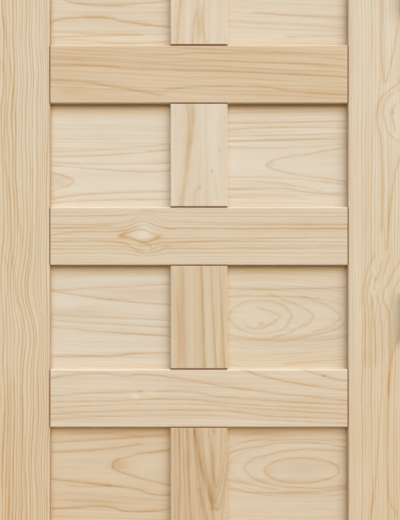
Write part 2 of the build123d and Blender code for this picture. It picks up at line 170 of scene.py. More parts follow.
def tinted(rgb, shares):
    """A screen colour, as linear light, with a share of each part kept."""
    return tuple(part * share for part, share in zip(linear(rgb), shares)) + (1.0,)


def lighter(rgb, levels):
    """A screen colour, some levels lighter in each part, as a linear colour."""
    return linear([part + level for part, level in zip(rgb, levels)])


def mix_colour(tree, share, first, second):
    """The first colour, with a share of the second in its place."""
    node = tree.nodes.new("ShaderNodeMix")
    node.data_type = "RGBA"
    plug(tree, node.inputs[0], share)
    plug(tree, node.inputs[6], first)
    plug(tree, node.inputs[7], second)
    return node.outputs[2]


def new_material(name):
    material = bpy.data.materials.new(name)
    material.use_nodes = True
    tree = material.node_tree
    return material, tree, tree.nodes["Principled BSDF"]


def coords(tree, kind="Object"):
    """Three numbers that say where a point lies on the part, or in the sky which way it is."""
    coord = tree.nodes.new("ShaderNodeTexCoord")
    split = tree.nodes.new("ShaderNodeSeparateXYZ")
    tree.links.new(coord.outputs[kind], split.inputs[0])
    return [Num(tree, out) for out in split.outputs]


def bump(tree, shader, height, strength, distance):
    node = tree.nodes.new("ShaderNodeBump")
    node.inputs["Strength"].default_value = strength
    node.inputs["Distance"].default_value = distance
    plug(tree, node.inputs["Height"], height)
    tree.links.new(node.outputs[0], shader.inputs["Normal"])


# Grain of one board, in the photograph's pixels: v runs along the grain, u across it and w into the wood.
# The pith is a line beside the board: u0 and tilt place it across the face, and its depth is d0 with slope
# and bend along the grain about vc, where it rounds over curve. It wanders by depth_wave over
# depth_length. So the rings rise through the face as lines, arches and eyes.
# Rings stand space apart from phase on, vary unevenly, lean by skew, and none shows nearer than inner.
# line is how dark they are, even the share of it that every ring has, soft the share that darkens slowly,
# and sharp the place in a ring where the rest begins. wave and ripple move the fibres, and band tones them.
# mean is the board's screen colour, and latewood the shares of its light that the dark wood keeps.
# humps, eyes, calm, stains and pins are patches. lines, arches and loops are single rings.
PLAIN = dict(
    upright=False, u0=0.0, tilt=0.0, d0=30.0, slope=0.0, bend=0.0, vc=200.0, curve=20.0,
    space=4.0, phase=0.0, skew=0.0, vary=0.7, wave=1.5, ripple=0.7, depth_wave=0.0,
    depth_length=160.0, line=0.6, even=0.2, soft=0.4, sharp=0.35, band=1.0, seed=0.0, inner=0.0,
    mean=(219, 197, 167), latewood=(0.80, 0.55, 0.23), humps=(), eyes=(), calm=(), lines=(), arches=(),
    loops=(), stains=(), pins=(),
)

# How far apart the boards lie in the noise, how fast the rings' width changes from ring to ring, and where
# in a ring its dark wood ends
SEED_STEP = 17.31
RING_DRIFT = 0.37
RING_END = 0.88

# Noise drawn out along the grain: its length and width in pixels, its shift, and its detail and roughness
Streak = namedtuple("Streak", "length width shift detail rough")
SLOW = Streak(95, 26, 0.0, 1.0, 0.5)
SMALL = Streak(24, 7, 3.7, 2.0, 0.5)
RAGGED = Streak(5, 2.5, 0.0, 2.0, 0.5)
FIBRE = Streak(30, 1 / 0.95, 0.0, 3.0, 0.65)
BANDS = Streak(260, 6, 9.1, 2.0, 0.5)
CLOUD = Streak(110, 30, 5.3, 2.0, 0.5)

# Rings that stand out on a board, each with its share of dark wood and the width of its stroke.
# A line is a smooth curve through its points. An arch has its tip, how far its two sides run and
# which way, how fast they spread, how blunt the tip is and how much it leans. A loop closes.
Line = namedtuple("Line", "dark width points")
Arch = namedtuple("Arch", "dark width tip reach spread blunt lean")
Loop = namedtuple("Loop", "dark width centre radii")

# A round patch in which the fibres move or the wood changes colour by some amount
Patch = namedtuple("Patch", "v u along across amount")

# How far a line fades past its ends at most, and how a ring's soft side lies, spreads and shows
LINE_FADE = 12.0
SOFT_SIDE = 1.3
SOFT_SPREAD = 0.18
SOFT_SHARE = 0.3

# How many screen levels the early and the palest wood are lighter than a board's mean. The palest also
# colours the painted highlight on the upper edges of rails and mullions
EARLY = (5, 9, 13)
PALEST_AND_HIGHLIGHT = (24, 38, 54)

# What is left of the light in a knot, in the painted shade along a panel's edges, and in a joint's dark,
# which is partly painted shade
KNOT = (0.68, 0.36, 0.03)
PANEL_EDGE_SHADE = (0.82, 0.50, 0.02)
JOINT_DARK_AND_SHADE = (0.34, 0.15, 0.03)

# Strips of another colour along an edge: from where to where they fade, in pixels, and their share at the
# edge. The four panel strips are painted shade: under the rail above, at the two sides and at the foot of a
# panel. The pale strip at the head of rails and mullions is a painted highlight on their upper edge. The
# rest darken the joints, partly as painted shade that is wider on a board's lower edge. The first share is
# for all joints, and the second is what a stile keeps of it beside the panels, there as painted shade along
# its edge
Fade = namedtuple("Fade", "start stop share")
PANEL_HEAD_SHADE = Fade(2, 15, 0.5)
PANEL_LEFT_SHADE = Fade(0, 4, 0.15)
PANEL_RIGHT_SHADE = Fade(0, 12, 0.12)
PANEL_FOOT_SHADE = Fade(0, 8, 0.12)
HEAD_HIGHLIGHT = Fade(1.0, 2.0, 0.2)
RAIL_END = Fade(0.3, 0.9, 1.0)
JOINT_HEAD = Fade(0.4, 0.9, 1.0)
RAIL_FOOT = Fade(0.4, 1.1, 1.0)
MULLION_FOOT = Fade(0.9, 1.5, 1.0)
MULLION_SIDE = Fade(-0.5, 0.2, 1.0)
JOINT_DARK_AND_SHADE_SHARE = 0.9
STILE_SHARE = 0.35


def streaks(tree, seed, v, u, w, kind):
    """Noise drawn out along the grain, from about -1 to 1."""
    wide = 1 / kind.width
    along = v * (1 / kind.length) + seed
    return noise(tree, along, u * wide, w * wide + kind.shift, kind.detail, kind.rough)


def faded(distance, fade):
    """The share of a strip at a distance from its edge."""
    return (1 - distance.step(fade.start, fade.stop)) * fade.share


def spot(v, u, patch):
    """A round patch that fades out over its two radii: 1 in the middle, 0 far away."""
    along = (v - patch.v) * (1 / patch.along)
    across = (u - patch.u) * (1 / patch.across)
    return ((along.squared() + across.squared()) * -1).op("EXPONENT")


def stroke(off):
    """How dark a ring is at a distance in widths: crisp on one side and soft on the other."""
    crisp = (off.squared() * -1).op("EXPONENT")
    soft = ((off + SOFT_SIDE).squared() * -SOFT_SPREAD).op("EXPONENT") * SOFT_SHARE
    return crisp + soft


def drawn_line(tree, v, u, line):
    """A dark ring through a few points, which fades out past its two ends."""
    first, last = line.points[0][0], line.points[-1][0]
    low = min(pu for pv, pu in line.points)
    span = max(pu for pv, pu in line.points) - low + 1
    node = tree.nodes.new("ShaderNodeFloatCurve")
    curve = node.mapping.curves[0]
    for _ in line.points[2:]:
        curve.points.new(0.5, 0.5)
    for knot, (pv, pu) in zip(curve.points, line.points):
        knot.location = ((pv - first) / (last - first), (pu - low) / span)
    node.mapping.extend = "HORIZONTAL"
    node.mapping.update()
    plug(tree, node.inputs["Value"], (v - first) * (1 / (last - first)))
    off = u - low - Num(tree, node.outputs[0]) * span
    fade = max(min(LINE_FADE, (last - first) / 8), line.width * 3)
    ends = v.step(first - fade, first) * (1 - v.step(last, last + fade))
    return stroke(off * (1 / line.width)) * ends * line.dark


def drawn_arch(v, u, arch):
    """A dark ring that rounds a tip and spreads, soft on its inside: one side of a hyperbola."""
    tip_v, tip_u = arch.tip
    past = (v - tip_v) * math.copysign(1, arch.reach)
    along = past + arch.blunt
    across = u - tip_u - (v - tip_v) * arch.lean
    inside = along.squared() - across.squared() * arch.spread ** -2 - arch.blunt ** 2
    slope = (along.squared() + across.squared() * arch.spread ** -4).sqrt() * 2
    reach = abs(arch.reach)
    ends = past.step(-4, -2) * (1 - past.step(reach * 0.7, reach))
    return stroke(inside / slope * (-1 / arch.width)) * ends * arch.dark


def drawn_loop(v, u, loop):
    """A dark ring that closes in an oval, soft on its inside."""
    along, across = v - loop.centre[0], u - loop.centre[1]
    long, short = loop.radii
    size = (along.squared() * long ** -2 + across.squared() * short ** -2).sqrt()
    slope = (along.squared() * long ** -4 + across.squared() * short ** -4).sqrt()
    return stroke((size - 1) * size / slope * (1 / loop.width)) * loop.dark


def fibre_lie(tree, g, seed, v, u, w):
    """Where the fibres lie for lines and pins, for arches and loops, and for the board's own rings."""
    slow = streaks(tree, seed, v, u, w, SLOW)
    small = streaks(tree, seed, v, u, w, SMALL)
    ragged = streaks(tree, seed, v, u, w, RAGGED)
    drawn = u + small * 0.6 + ragged * 0.5
    loose = (v + small * 3.5, drawn + slow * 2.0 + small * 0.9)
    grown = u + slow * g["wave"] + small * g["ripple"]

    # Fibres swerve past each hump and part around each eye
    for hump in g["humps"]:
        grown = grown + spot(v, grown, hump) * hump.amount
    for eye in g["eyes"]:
        off = grown - eye.u
        grown = eye.u + off * (1 - spot(v, grown, eye) * eye.amount)
    return drawn, loose, grown


def pith_distance(tree, g, seed, v, u, w):
    """How far a point lies from the pith line."""
    along = v - g["vc"]
    a = u - g["u0"] - along * g["tilt"]
    depth = along * g["slope"] + g["d0"] + w
    if g["bend"]:
        depth = depth + ((along.squared() + g["curve"] ** 2).sqrt() - g["curve"]) * g["bend"]
    if g["depth_wave"]:
        depth = depth + noise_along(tree, v * (1 / g["depth_length"]) + seed) * g["depth_wave"]
    return (a.squared() + depth.squared()).sqrt() + a * g["skew"]


def growth_rings(tree, g, seed, v, ring):
    """Rings of uneven width, each darkening slowly and ending in a line that comes and goes."""
    turn = ring * (1 / g["space"]) + g["phase"]
    turn = turn + noise_along(tree, ring * (RING_DRIFT / g["space"]) + seed) * g["vary"]
    count = turn.op("FLOOR")
    part = turn.op("FRACT")
    dice = each_random(tree, count + (seed + 0.5))
    fade = noise(tree, v * (1 / 60) + seed, count * 2.7, 0.5, 1.0) * 0.7 + 0.9
    soft = part.step(0.0, 0.85) * g["soft"]
    crisp = part.step(g["sharp"], RING_END).squared() * (1 - g["soft"])
    share = (dice * (1 - g["even"]) + g["even"]) * fade * g["line"]
    late = (soft + crisp) * (1 - part.step(RING_END, 1.0)) * share
    if g["inner"]:
        late = late * ring.step(g["inner"] - 1, g["inner"] + 1)
    return late


def single_rings(tree, g, seed, v, drawn, loose):
    """The rings that stand out, stronger in some places than in others."""
    strokes = [drawn_line(tree, v, drawn, line) for line in g["lines"]]
    strokes += [drawn_arch(*loose, arch) for arch in g["arches"]]
    strokes += [drawn_loop(*loose, loop) for loop in g["loops"]]
    if not strokes:
        return 0.0
    come_and_go = noise(tree, v * (1 / 22) + seed, drawn * (1 / 9), 0.0, 1.0) * 0.55 + 0.95
    return sum(strokes[1:], strokes[0]) * come_and_go


def wood_colour(tree, g, dark):
    """Early wood that turns to late wood where dark is over 0, and to the palest wood where it is under."""
    mean = g["mean"]
    over = dark.op("ADD", 0.0, clamp=True)
    under = (dark * -1).op("ADD", 0.0, clamp=True)
    colour = mix_colour(tree, over, lighter(mean, EARLY), tinted(mean, g["latewood"]))
    return mix_colour(tree, under, colour, lighter(mean, PALEST_AND_HIGHLIGHT))


def joint_dark_and_shade(g, across, down, head, foot):
    """The dark in the fine V where a stile, rail or mullion meets its neighbours, partly painted shade: it
    is wider on a board's lower edge, and a stile keeps some of it beside the panels.
    """
    aside = (across - MID_X).op("ABSOLUTE")
    if g["ends"] == "stile":
        beside_rail = sum(
            down.step(top, top + 0.5) * (1 - down.step(low - 0.5, low)) for top, low in RAIL_EDGES
        )
        return faded(aside - HALF_OPENING, RAIL_END) * (beside_rail * (1 - STILE_SHARE) + STILE_SHARE)
    if g["ends"] == "mullion":
        return faded(foot, MULLION_FOOT) + faded(head, JOINT_HEAD)
    below = faded(foot, RAIL_FOOT) * float(g["mullion_below"])
    above = faded(head, JOINT_HEAD) * float(g["mullion_above"])
    at_mullion = (below + above) * faded(aside - HALF_MULLION, MULLION_SIDE)
    return faded(HALF_OPENING - aside, RAIL_END).op("MAXIMUM", at_mullion)


def edge_shade_and_highlight(tree, g, across, down, colour):
    """Painted shade along a panel's edges, joints darkened partly with painted shade, and a painted
    highlight on the upper edges of rails and mullions.
    """
    mean = g["mean"]
    below = down - g["middle"]
    head, foot = g["half"] + below, g["half"] - below
    if g["ends"] == "panel":
        # Painted shade under the rail above, along both sides and at the foot of a panel
        beside = faded(across - g["left"], PANEL_LEFT_SHADE) + faded(g["right"] - across, PANEL_RIGHT_SHADE)
        colour = mix_colour(tree, faded(head, PANEL_HEAD_SHADE) + beside, colour, tinted(mean, PANEL_EDGE_SHADE))
        return mix_colour(tree, faded(foot, PANEL_FOOT_SHADE), colour, tinted(mean, JOINT_DARK_AND_SHADE))
    if g["ends"] in ("rail", "mullion"):
        # A painted highlight along the upper edge
        colour = mix_colour(tree, faded(head, HEAD_HIGHLIGHT), colour, lighter(mean, PALEST_AND_HIGHLIGHT))
    if g["ends"]:
        # The joints darkened, partly with painted shade
        joint_and_shade = joint_dark_and_shade(g, across, down, head, foot) * JOINT_DARK_AND_SHADE_SHARE
        colour = mix_colour(tree, joint_and_shade, colour, tinted(mean, JOINT_DARK_AND_SHADE))
    return colour


def pine(name, **changes):
    """A board of clear pine whose growth rings follow the given figure."""
    g = dict(PLAIN, **changes)
    seed = g["seed"] * SEED_STEP
    material, tree, shader = new_material(name)
    x, y, z = coords(tree)
    across = x * (-1 / PIXEL) + MID_X
    down = z * (-1 / PIXEL) + (RAIL_Y + RAIL_Z / PIXEL)
    w = y * (-1 / PIXEL) + g["face"] / PIXEL
    v, u = (down, across) if g["upright"] else (across, down)

    drawn, loose, u = fibre_lie(tree, g, seed, v, u, w)
    late = growth_rings(tree, g, seed, v, pith_distance(tree, g, seed, v, u, w))
    for place in g["calm"]:
        late = late * (1 - spot(v, drawn, place) * place.amount)
    late = late + single_rings(tree, g, seed, v, drawn, loose)

    fibre = streaks(tree, seed, v, u, w, FIBRE)
    bands = streaks(tree, seed, v, u, w, BANDS)
    cloud = streaks(tree, seed, v, u, w, CLOUD)
    dark = late + (bands * 0.22 + cloud * 0.12 + 0.02) * g["band"] + fibre * 0.17
    for stain in g["stains"]:
        dark = dark + spot(v, u, stain) * stain.amount

    colour = wood_colour(tree, g, dark)
    for pin in g["pins"]:
        colour = mix_colour(tree, spot(v, drawn, pin) * pin.amount, colour, tinted(g["mean"], KNOT))
    # Painted shade along panel edges and in the joints, and a painted highlight on upper edges
    colour = edge_shade_and_highlight(tree, g, across, down, colour)

    tree.links.new(colour, shader.inputs["Base Color"])
    plug(tree, shader.inputs["Roughness"], late * -0.12 + fibre * 0.05 + 0.62)
    shader.inputs["Specular IOR Level"].default_value = 0.3
    bump(tree, shader, fibre * 0.6 - late * 0.5, 0.05, 0.0003)
    return material


def joint_place(node):
    """Where a board meets its neighbours: its kind, middle and half height, and a panel's two sides.

    Each rail has a mullion above and below it, apart from the leaf's own top and bottom edges.
    """
    kind = next((k for k in ("mullion", "panel", "stile", "rail") if k in node.split("_")), "")
    if kind in ("mullion", "panel"):
        row = int(node[-1])
        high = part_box(RAILS[row - 1])[0].z
        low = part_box(RAILS[row])[1].z
    else:
        low, high = [corner.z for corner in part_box(node)]
    middle = RAIL_Y + (RAIL_Z - (low + high) / 2) / PIXEL
    left, right = MID_X + HALF_MULLION, MID_X + HALF_OPENING
    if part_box(node)[1].x > 0:
        left, right = MID_X - HALF_OPENING, MID_X - HALF_MULLION
    return dict(
        ends=kind, middle=middle, half=(high - low) / 2 / PIXEL, left=left, right=right,
        mullion_above=node != RAILS[0], mullion_below=node != RAILS[-1],
    )


def dress(node, material):
    """Give a CAD node its finished surface."""
    mesh = nodes[node].data
    mesh.materials.clear()
    mesh.materials.append(material)


# Figures of the boards in the photograph, with places in its pixels
BOARDS = {
    "lock_stile": dict(
        upright=True, u0=-28, d0=26, space=2.9, vary=0.6, wave=3.2, ripple=1.0, depth_wave=5,
        depth_length=140, line=0.76, even=0.55, soft=0.15, sharp=0.2, seed=1, mean=(222, 203, 174),
        humps=(Patch(290, 22, 26, 14, 4.0), Patch(335, 28, 26, 14, -4.0)),
        # The wide patch low down makes the stile darker towards the bottom
        stains=(Patch(620, 20, 330, 400, 0.25),),
        lines=(
            Line(0.22, 0.9, ((22, 4), (92, 13), (131, 16), (160, 15), (240, 22))),
            Line(0.22, 0.9, ((60, 0), (100, 6), (150, 4), (190, 9), (262, 12))),
            Line(0.18, 0.9, ((262, 5), (285, 9), (300, 6), (380, 8), (520, 9))),
            Line(0.18, 0.9, ((270, 14), (300, 17), (318, 24), (345, 22), (520, 27))),
        ),
    ),
    "hinge_stile": dict(
        upright=True, u0=470, d0=25, vc=81, space=3.1, vary=0.7, wave=2.4, ripple=1.0, line=0.5,
        even=0.4, soft=0.2, sharp=0.25, seed=2, mean=(224, 206, 178),
        humps=(Patch(60, 388, 60, 9, -4.0), Patch(290, 384, 30, 10, -5.0)),
        eyes=(Patch(118, 392, 22, 9, 0.85), Patch(285, 374, 15, 6, 0.8)),
        stains=(
            Patch(40, 388, 45, 7, -0.15), Patch(118, 396, 18, 10, -0.1),
            # The wide patch low down makes the stile darker towards the bottom
            Patch(620, 380, 330, 400, 0.25),
        ),
        calm=(Patch(115, 393, 30, 12, 0.7), Patch(290, 382, 26, 18, 0.8)),
        arches=(Arch(0.3, 1.0, (81.5, 385.2), -110, 0.056, 200, -0.084),),
        lines=(
            Line(0.35, 1.0, ((83, 400), (92, 388), (101, 380), (118, 377), (140, 381), (225, 382))),
            Line(0.3, 0.9, ((92, 400), (97, 388), (111, 384), (122, 385), (131, 388), (140, 398))),
            Line(0.35, 0.9, ((102, 401), (107, 394), (113, 392), (122, 394), (130, 395))),
            Line(0.35, 0.9, ((161, 399), (181, 394), (245, 387))),
            Line(0.3, 0.9, ((258, 374), (283, 364.5), (297, 362.6), (310, 364.3), (362, 364.6))),
            Line(0.28, 0.8, ((277, 372.7), (286, 368.4), (297, 367), (310, 368.6), (362, 370))),
            Line(0.3, 0.8, ((300, 372.4), (330, 374.6), (362, 375.5))),
            Line(0.28, 0.9, ((298, 377.5), (318, 381), (345, 382.5), (435, 379), (522, 370))),
            Line(0.32, 0.9, ((258, 402), (284, 388), (296, 383.4), (304, 385.4), (316, 389.6), (391, 389))),
            Line(0.25, 0.8, ((279, 400), (287, 395.6), (298, 393), (308, 392))),
            Line(0.25, 0.8, ((262, 382), (272, 379.6), (284, 374.4))),
            Line(0.25, 0.8, ((256, 389), (278, 383))),
            Line(0.24, 1.0, ((340, 398), (413, 387), (478, 387), (510, 397))),
        ),
        pins=(
            Patch(112.5, 393, 2.0, 1.2, 0.38), Patch(279, 375.5, 2.0, 1.4, 0.4),
            Patch(288, 374, 1.5, 1.0, 0.4), Patch(303.5, 372.6, 3.2, 0.7, 0.45),
        ),
    ),
    "panel_right_1": dict(
        u0=-70, d0=20, vc=100, space=4.4, vary=0.8, wave=1.6, line=0.22, sharp=0.45, seed=3,
        mean=(223, 204, 176),
        lines=(
            Line(0.45, 1.1, ((50, 22), (78, 15.4), (108, 15.8), (119, 18.7), (170, 25.3))),
            Line(0.4, 1.0, ((62, -3), (86, 2.2), (104, 3.3), (146, 0.7), (171, -2))),
            Line(0.3, 0.8, ((50, 29.7), (115, 31.9), (171, 32))),
            Line(0.4, 0.8, ((50, 35.6), (82, 34.1), (137, 33))),
            Line(0.25, 0.8, ((50, 39.6), (71, 38), (126, 41.5), (171, 37.5))),
        ),
        stains=(Patch(92, 14, 14, 2.5, 0.2), Patch(100, 0, 30, 4, 0.1)),
    ),
    "panel_left_1": dict(
        u0=-85, d0=25, tilt=0.04, vc=288, space=3.6, vary=0.9, wave=1.0, line=0.28, sharp=0.45,
        seed=4, mean=(223, 205, 178),
        lines=(
            Line(0.3, 0.8, ((258, 11), (304, 14), (349, 16.7))),
            Line(0.3, 0.8, ((227, 19.8), (282, 22), (349, 26.4))),
            Line(0.25, 0.8, ((290, 35), (349, 33))),
        ),
    ),
    "mullion_1": dict(
        upright=True, u0=150, d0=55, space=6.5, vary=0.6, wave=2.0, line=0.25, sharp=0.2, seed=5,
        mean=(224, 205, 177),
        lines=(
            Line(0.38, 1.5, ((-12, 182.5), (10, 179.7), (45, 177.2))),
            Line(0.3, 1.2, ((12, 196.5), (33, 193), (45, 193))),
            Line(0.25, 1.2, ((6, 203), (25, 203), (45, 207.3))),
        ),
        stains=(
            Patch(25, 199, 12, 3.0, 0.3), Patch(18, 187, 30, 4, -0.12), Patch(15, 215, 40, 6, -0.08),
        ),
    ),
    "cross_rail_1": dict(
        u0=114, tilt=0.05, d0=24, vc=200, slope=-0.01, space=3.2, vary=0.8, wave=2.0, line=0.4,
        soft=0.2, sharp=0.35, band=1.2, seed=6, mean=(217, 191, 155),
        lines=(
            Line(0.42, 0.9, ((48, 65.4), (84, 65.4), (138, 69), (228, 71.4), (350, 77.4))),
            Line(0.42, 0.9, ((48, 80.2), (72, 81), (118, 87.4), (158, 95))),
            Line(0.34, 0.9, ((172, 89), (208, 86.4), (248, 86), (288, 90.6), (350, 94.8))),
            Line(0.32, 0.9, ((48, 56.6), (108, 59), (158, 62), (218, 61), (350, 69.2))),
            Line(0.28, 0.8, ((48, 49), (108, 52), (168, 55), (198, 53), (350, 60.2))),
            Line(0.22, 0.8, ((185, 48.6), (258, 51), (350, 55.2))),
        ),
        stains=(
            Patch(70, 91, 14, 5, 0.2), Patch(248, 92, 40, 4, 0.12), Patch(300, 97, 60, 5, 0.15),
        ),
    ),
    "panel_right_2": dict(
        u0=181.5, d0=12, slope=0.12, bend=-0.07, curve=10, vc=51, space=2.9, vary=0.8, wave=0.8,
        line=0.28, sharp=0.4, seed=7, mean=(225, 209, 185), inner=29.0,
        arches=(Arch(0.3, 0.9, (73, 181), -60, 0.194, 40, 0.0),),
        lines=(
            Line(0.4, 0.8, ((50, 164.7), (93, 168), (141, 170.6), (171, 170.2))),
            Line(0.35, 0.8, ((50, 161), (122, 163.2), (171, 161.8))),
            Line(0.35, 0.8, ((50, 156), (93, 154.8), (171, 148.6))),
            Line(0.22, 0.8, ((50, 150.8), (104, 148.6), (171, 142.7))),
            Line(0.4, 0.8, ((50, 198.8), (80, 194.4), (126, 191.8), (171, 191.1))),
            Line(0.35, 0.8, ((50, 202.8), (93, 200), (171, 198.8))),
        ),
        stains=(Patch(60, 181, 10, 4.5, 0.22), Patch(51, 181, 8, 7, 0.1)),
    ),
    "panel_left_2": dict(
        u0=164, d0=23.2, slope=-0.045, vc=288, bend=-0.02, curve=30, space=3.4, phase=0.56,
        vary=0.5, wave=0.9, line=0.32, sharp=0.5, seed=8, mean=(224, 208, 184), inner=30.0,
        arches=(Arch(0.36, 0.8, (266.4, 163.5), 140, 0.114, 100, 0.0),),
        lines=(
            Line(0.3, 0.8, ((226, 146), (249, 147), (350, 142.7))),
            Line(0.4, 0.8, ((226, 140.5), (350, 137.2))),
            Line(0.22, 0.8, ((226, 135), (350, 132.8))),
            Line(0.35, 0.8, ((226, 128.8), (304, 126.2), (350, 126.6))),
            Line(0.22, 0.8, ((226, 121.8), (350, 120))),
            Line(0.3, 0.8, ((226, 176.8), (249, 176.4), (350, 184.5))),
            Line(0.22, 0.8, ((226, 180), (260, 181), (319, 190))),
            Line(0.35, 0.8, ((226, 188.9), (282, 187.8), (304, 191), (337, 194))),
            Line(0.22, 0.8, ((226, 196), (271, 195.5), (304, 197.7))),
        ),
        stains=(
            Patch(300, 163, 30, 6, 0.12), Patch(272, 163, 5, 2.4, 0.25), Patch(340, 163, 20, 9, 0.1),
        ),
    ),
    "mullion_2": dict(
        upright=True, u0=250, d0=15, slope=0.02, vc=155, space=7.0, vary=0.7, wave=2.6, line=0.14,
        sharp=0.3, seed=9, mean=(223, 205, 179),
        lines=(
            Line(0.11, 4.5, ((100, 189.5), (130, 191), (142, 190))),
            Line(0.09, 3.0, ((100, 190), (149, 189), (206, 182))),
            Line(0.24, 1.5, ((100, 193.2), (130, 193), (149, 189.7), (206, 183))),
            Line(0.2, 1.2, ((100, 185.5), (130, 189), (149, 187.4), (206, 180.5))),
            Line(0.28, 0.8, ((188, 199.5), (191, 196), (206, 194.7))),
            Line(0.18, 0.8, ((171, 211.7), (177, 213.8), (197, 217.2))),
        ),
        stains=(Patch(140, 208, 50, 8, -0.1),),
        pins=(
            Patch(170.8, 211.7, 1.6, 0.9, 0.35), Patch(149.5, 219.7, 2.8, 0.8, 0.3),
            Patch(187, 200.2, 1.7, 1.0, 0.36),
        ),
    ),
    "cross_rail_2": dict(
        u0=312, d0=45, space=2.9, vary=0.6, wave=1.4, ripple=0.8, line=0.46, even=0.45, soft=0.15,
        sharp=0.2, seed=10, mean=(221, 200.5, 171),
        humps=(Patch(143, 220, 15, 9, 6.0), Patch(146, 252, 14, 7, -4.0)),
        eyes=(Patch(141, 237, 16, 7, 0.9),),
        lines=(
            Line(0.38, 0.9, ((120, 236), (130, 232), (140, 229.8), (149, 232.4), (157, 238))),
            Line(0.42, 1.0, ((123, 236.8), (130, 237.6), (144, 242.4), (152, 240.8), (158, 236.4))),
            Line(0.4, 0.8, ((141, 243.6), (146, 243.6), (150.5, 247))),
            Line(0.2, 0.8, ((48, 224), (128, 221.8), (144, 214.8), (160, 225.8), (172, 229.4))),
            Line(0.2, 0.8, ((48, 215.5), (132, 215.8), (144, 211), (164, 221), (350, 224))),
            Line(0.28, 0.9, ((170, 229), (258, 228.8), (350, 228.8))),
            Line(0.22, 0.8, ((160, 244.8), (208, 241.2), (350, 236.8))),
            Line(0.22, 0.8, ((170, 248.8), (350, 246.8))),
            Line(0.3, 0.9, ((48, 236.8), (78, 231.8), (114, 231.8), (133, 227.6))),
            Line(0.22, 0.8, ((48, 228.8), (108, 225.8))),
            Line(0.3, 0.8, ((48, 241.8), (108, 241.2), (128, 244.8), (146, 252.8), (164, 246.8))),
        ),
        stains=(
            Patch(144, 235.4, 9, 3.0, -0.42), Patch(147, 246.5, 2.4, 1.6, -0.4),
            Patch(285, 231.5, 80, 3.5, 0.14), Patch(122, 236, 5, 2.5, 0.2), Patch(160, 237, 7, 4, 0.15),
        ),
    ),
    "panel_right_3": dict(
        u0=293, tilt=0.04, d0=21.2, slope=-0.02, vc=110, space=3.2, phase=0.6, vary=0.8, wave=1.2,
        line=0.26, sharp=0.4, seed=11, mean=(221, 204, 180), inner=28.0,
        lines=(
            Line(0.3, 0.9, ((50, 290.6), (92, 288.4), (171, 284.5))),
            Line(0.45, 0.9, ((50, 291.2), (86, 296.8), (125, 301.8), (171, 305))),
            Line(0.3, 0.8, ((50, 315.8), (171, 321))),
            Line(0.3, 0.8, ((50, 320.6), (171, 328.4))),
            Line(0.4, 0.8, ((50, 328), (114, 333), (171, 337))),
            Line(0.4, 0.8, ((53, 357.3), (103, 356.9), (146, 353.9), (171, 353.4))),
        ),
        stains=(
            Patch(140, 294, 40, 5, 0.2), Patch(88, 311, 20, 4, 0.18), Patch(80, 335, 60, 12, -0.06),
        ),
    ),
    "panel_left_3": dict(
        u0=317, d0=12, bend=0.22, slope=-0.08, vc=250, curve=10, space=2.8, phase=0.3, vary=0.6,
        wave=1.6, ripple=1.3, line=0.36, sharp=0.45, seed=12, mean=(220, 201, 173), inner=24.0,
        loops=(Loop(0.28, 0.9, (260.5, 317.5), (31.5, 16.5)),),
        arches=(
            Arch(0.26, 0.8, (280, 318), -26, 0.2, 40, 0.0),
            Arch(0.26, 0.9, (314.5, 317.6), -56, 0.3, 40, 0.0),
            Arch(0.26, 0.8, (342, 317), -46, 0.3, 40, 0.0),
        ),
        lines=(
            Line(0.3, 0.8, ((245, 322), (256, 329.4), (271, 324.5))),
            Line(0.33, 0.8, ((226, 297.5), (253, 296.4), (306, 298))),
            Line(0.35, 0.8, ((226, 288.2), (270, 289.5), (350, 287.3))),
            Line(0.3, 0.8, ((226, 335.3), (281, 340.7), (318, 335.3), (350, 322))),
            Line(0.25, 0.8, ((226, 339.6), (292, 342), (350, 335.3))),
            Line(0.25, 0.8, ((288, 364.6), (350, 360))),
        ),
        stains=(Patch(255, 316, 22, 12, -0.06),),
        pins=(Patch(262, 323.4, 2.0, 1.1, 0.42), Patch(318, 298.5, 3.0, 0.9, 0.3)),
    ),
    "mullion_3": dict(
        upright=True, u0=165, d0=18, space=6.2, vary=0.6, wave=1.8, line=0.2, sharp=0.35, seed=13,
        mean=(215, 192, 159),
        lines=(
            Line(0.42, 0.9, ((264, 201.2), (304, 203), (369, 204.7))),
            Line(0.1, 2.4, ((264, 200), (369, 203))),
            Line(0.14, 1.4, ((264, 182), (300, 184), (369, 186))),
            Line(0.34, 1.0, ((264, 211.2), (312, 213), (369, 216.4))),
            Line(0.34, 0.9, ((264, 219.6), (304, 221.3), (369, 224.5))),
            Line(0.2, 1.0, ((300, 176.8), (337, 178.8), (369, 178))),
        ),
        stains=(
            Patch(300, 180, 50, 6, 0.25), Patch(350, 182, 30, 5, 0.15),
            Patch(310, 208, 70, 2.4, -0.15), Patch(320, 218, 70, 2.2, -0.1),
        ),
    ),
    "cross_rail_3": dict(
        u0=346, tilt=0.03, d0=26, vc=200, space=3.4, vary=0.8, wave=2.0, line=0.28, soft=0.3,
        sharp=0.35, seed=14, mean=(221, 201, 173),
        lines=(
            Line(0.38, 0.9, ((50, 378.6), (102, 373.6), (126, 376), (138, 374.6), (172, 377.6),
                             (238, 388.6), (350, 400.8))),
            Line(0.42, 0.9, ((246, 370.6), (272, 378.6), (350, 390.8))),
            Line(0.38, 0.9, ((304, 370), (338, 379.6), (350, 381.4))),
            Line(0.38, 0.9, ((48, 396.2), (104, 392.6), (140, 391.8))),
            Line(0.33, 0.9, ((160, 391.6), (178, 391), (218, 396.6), (350, 404.8))),
            Line(0.33, 0.9, ((48, 402.6), (108, 401), (180, 399), (218, 402.6), (350, 409.8))),
            Line(0.33, 0.9, ((48, 408.6), (168, 404.2), (248, 408.2), (350, 414.8))),
            Line(0.33, 0.9, ((48, 414.2), (198, 410.2), (268, 415.6), (350, 418.8))),
            Line(0.28, 0.9, ((48, 419.6), (188, 415.4), (248, 418.6), (350, 423.8))),
        ),
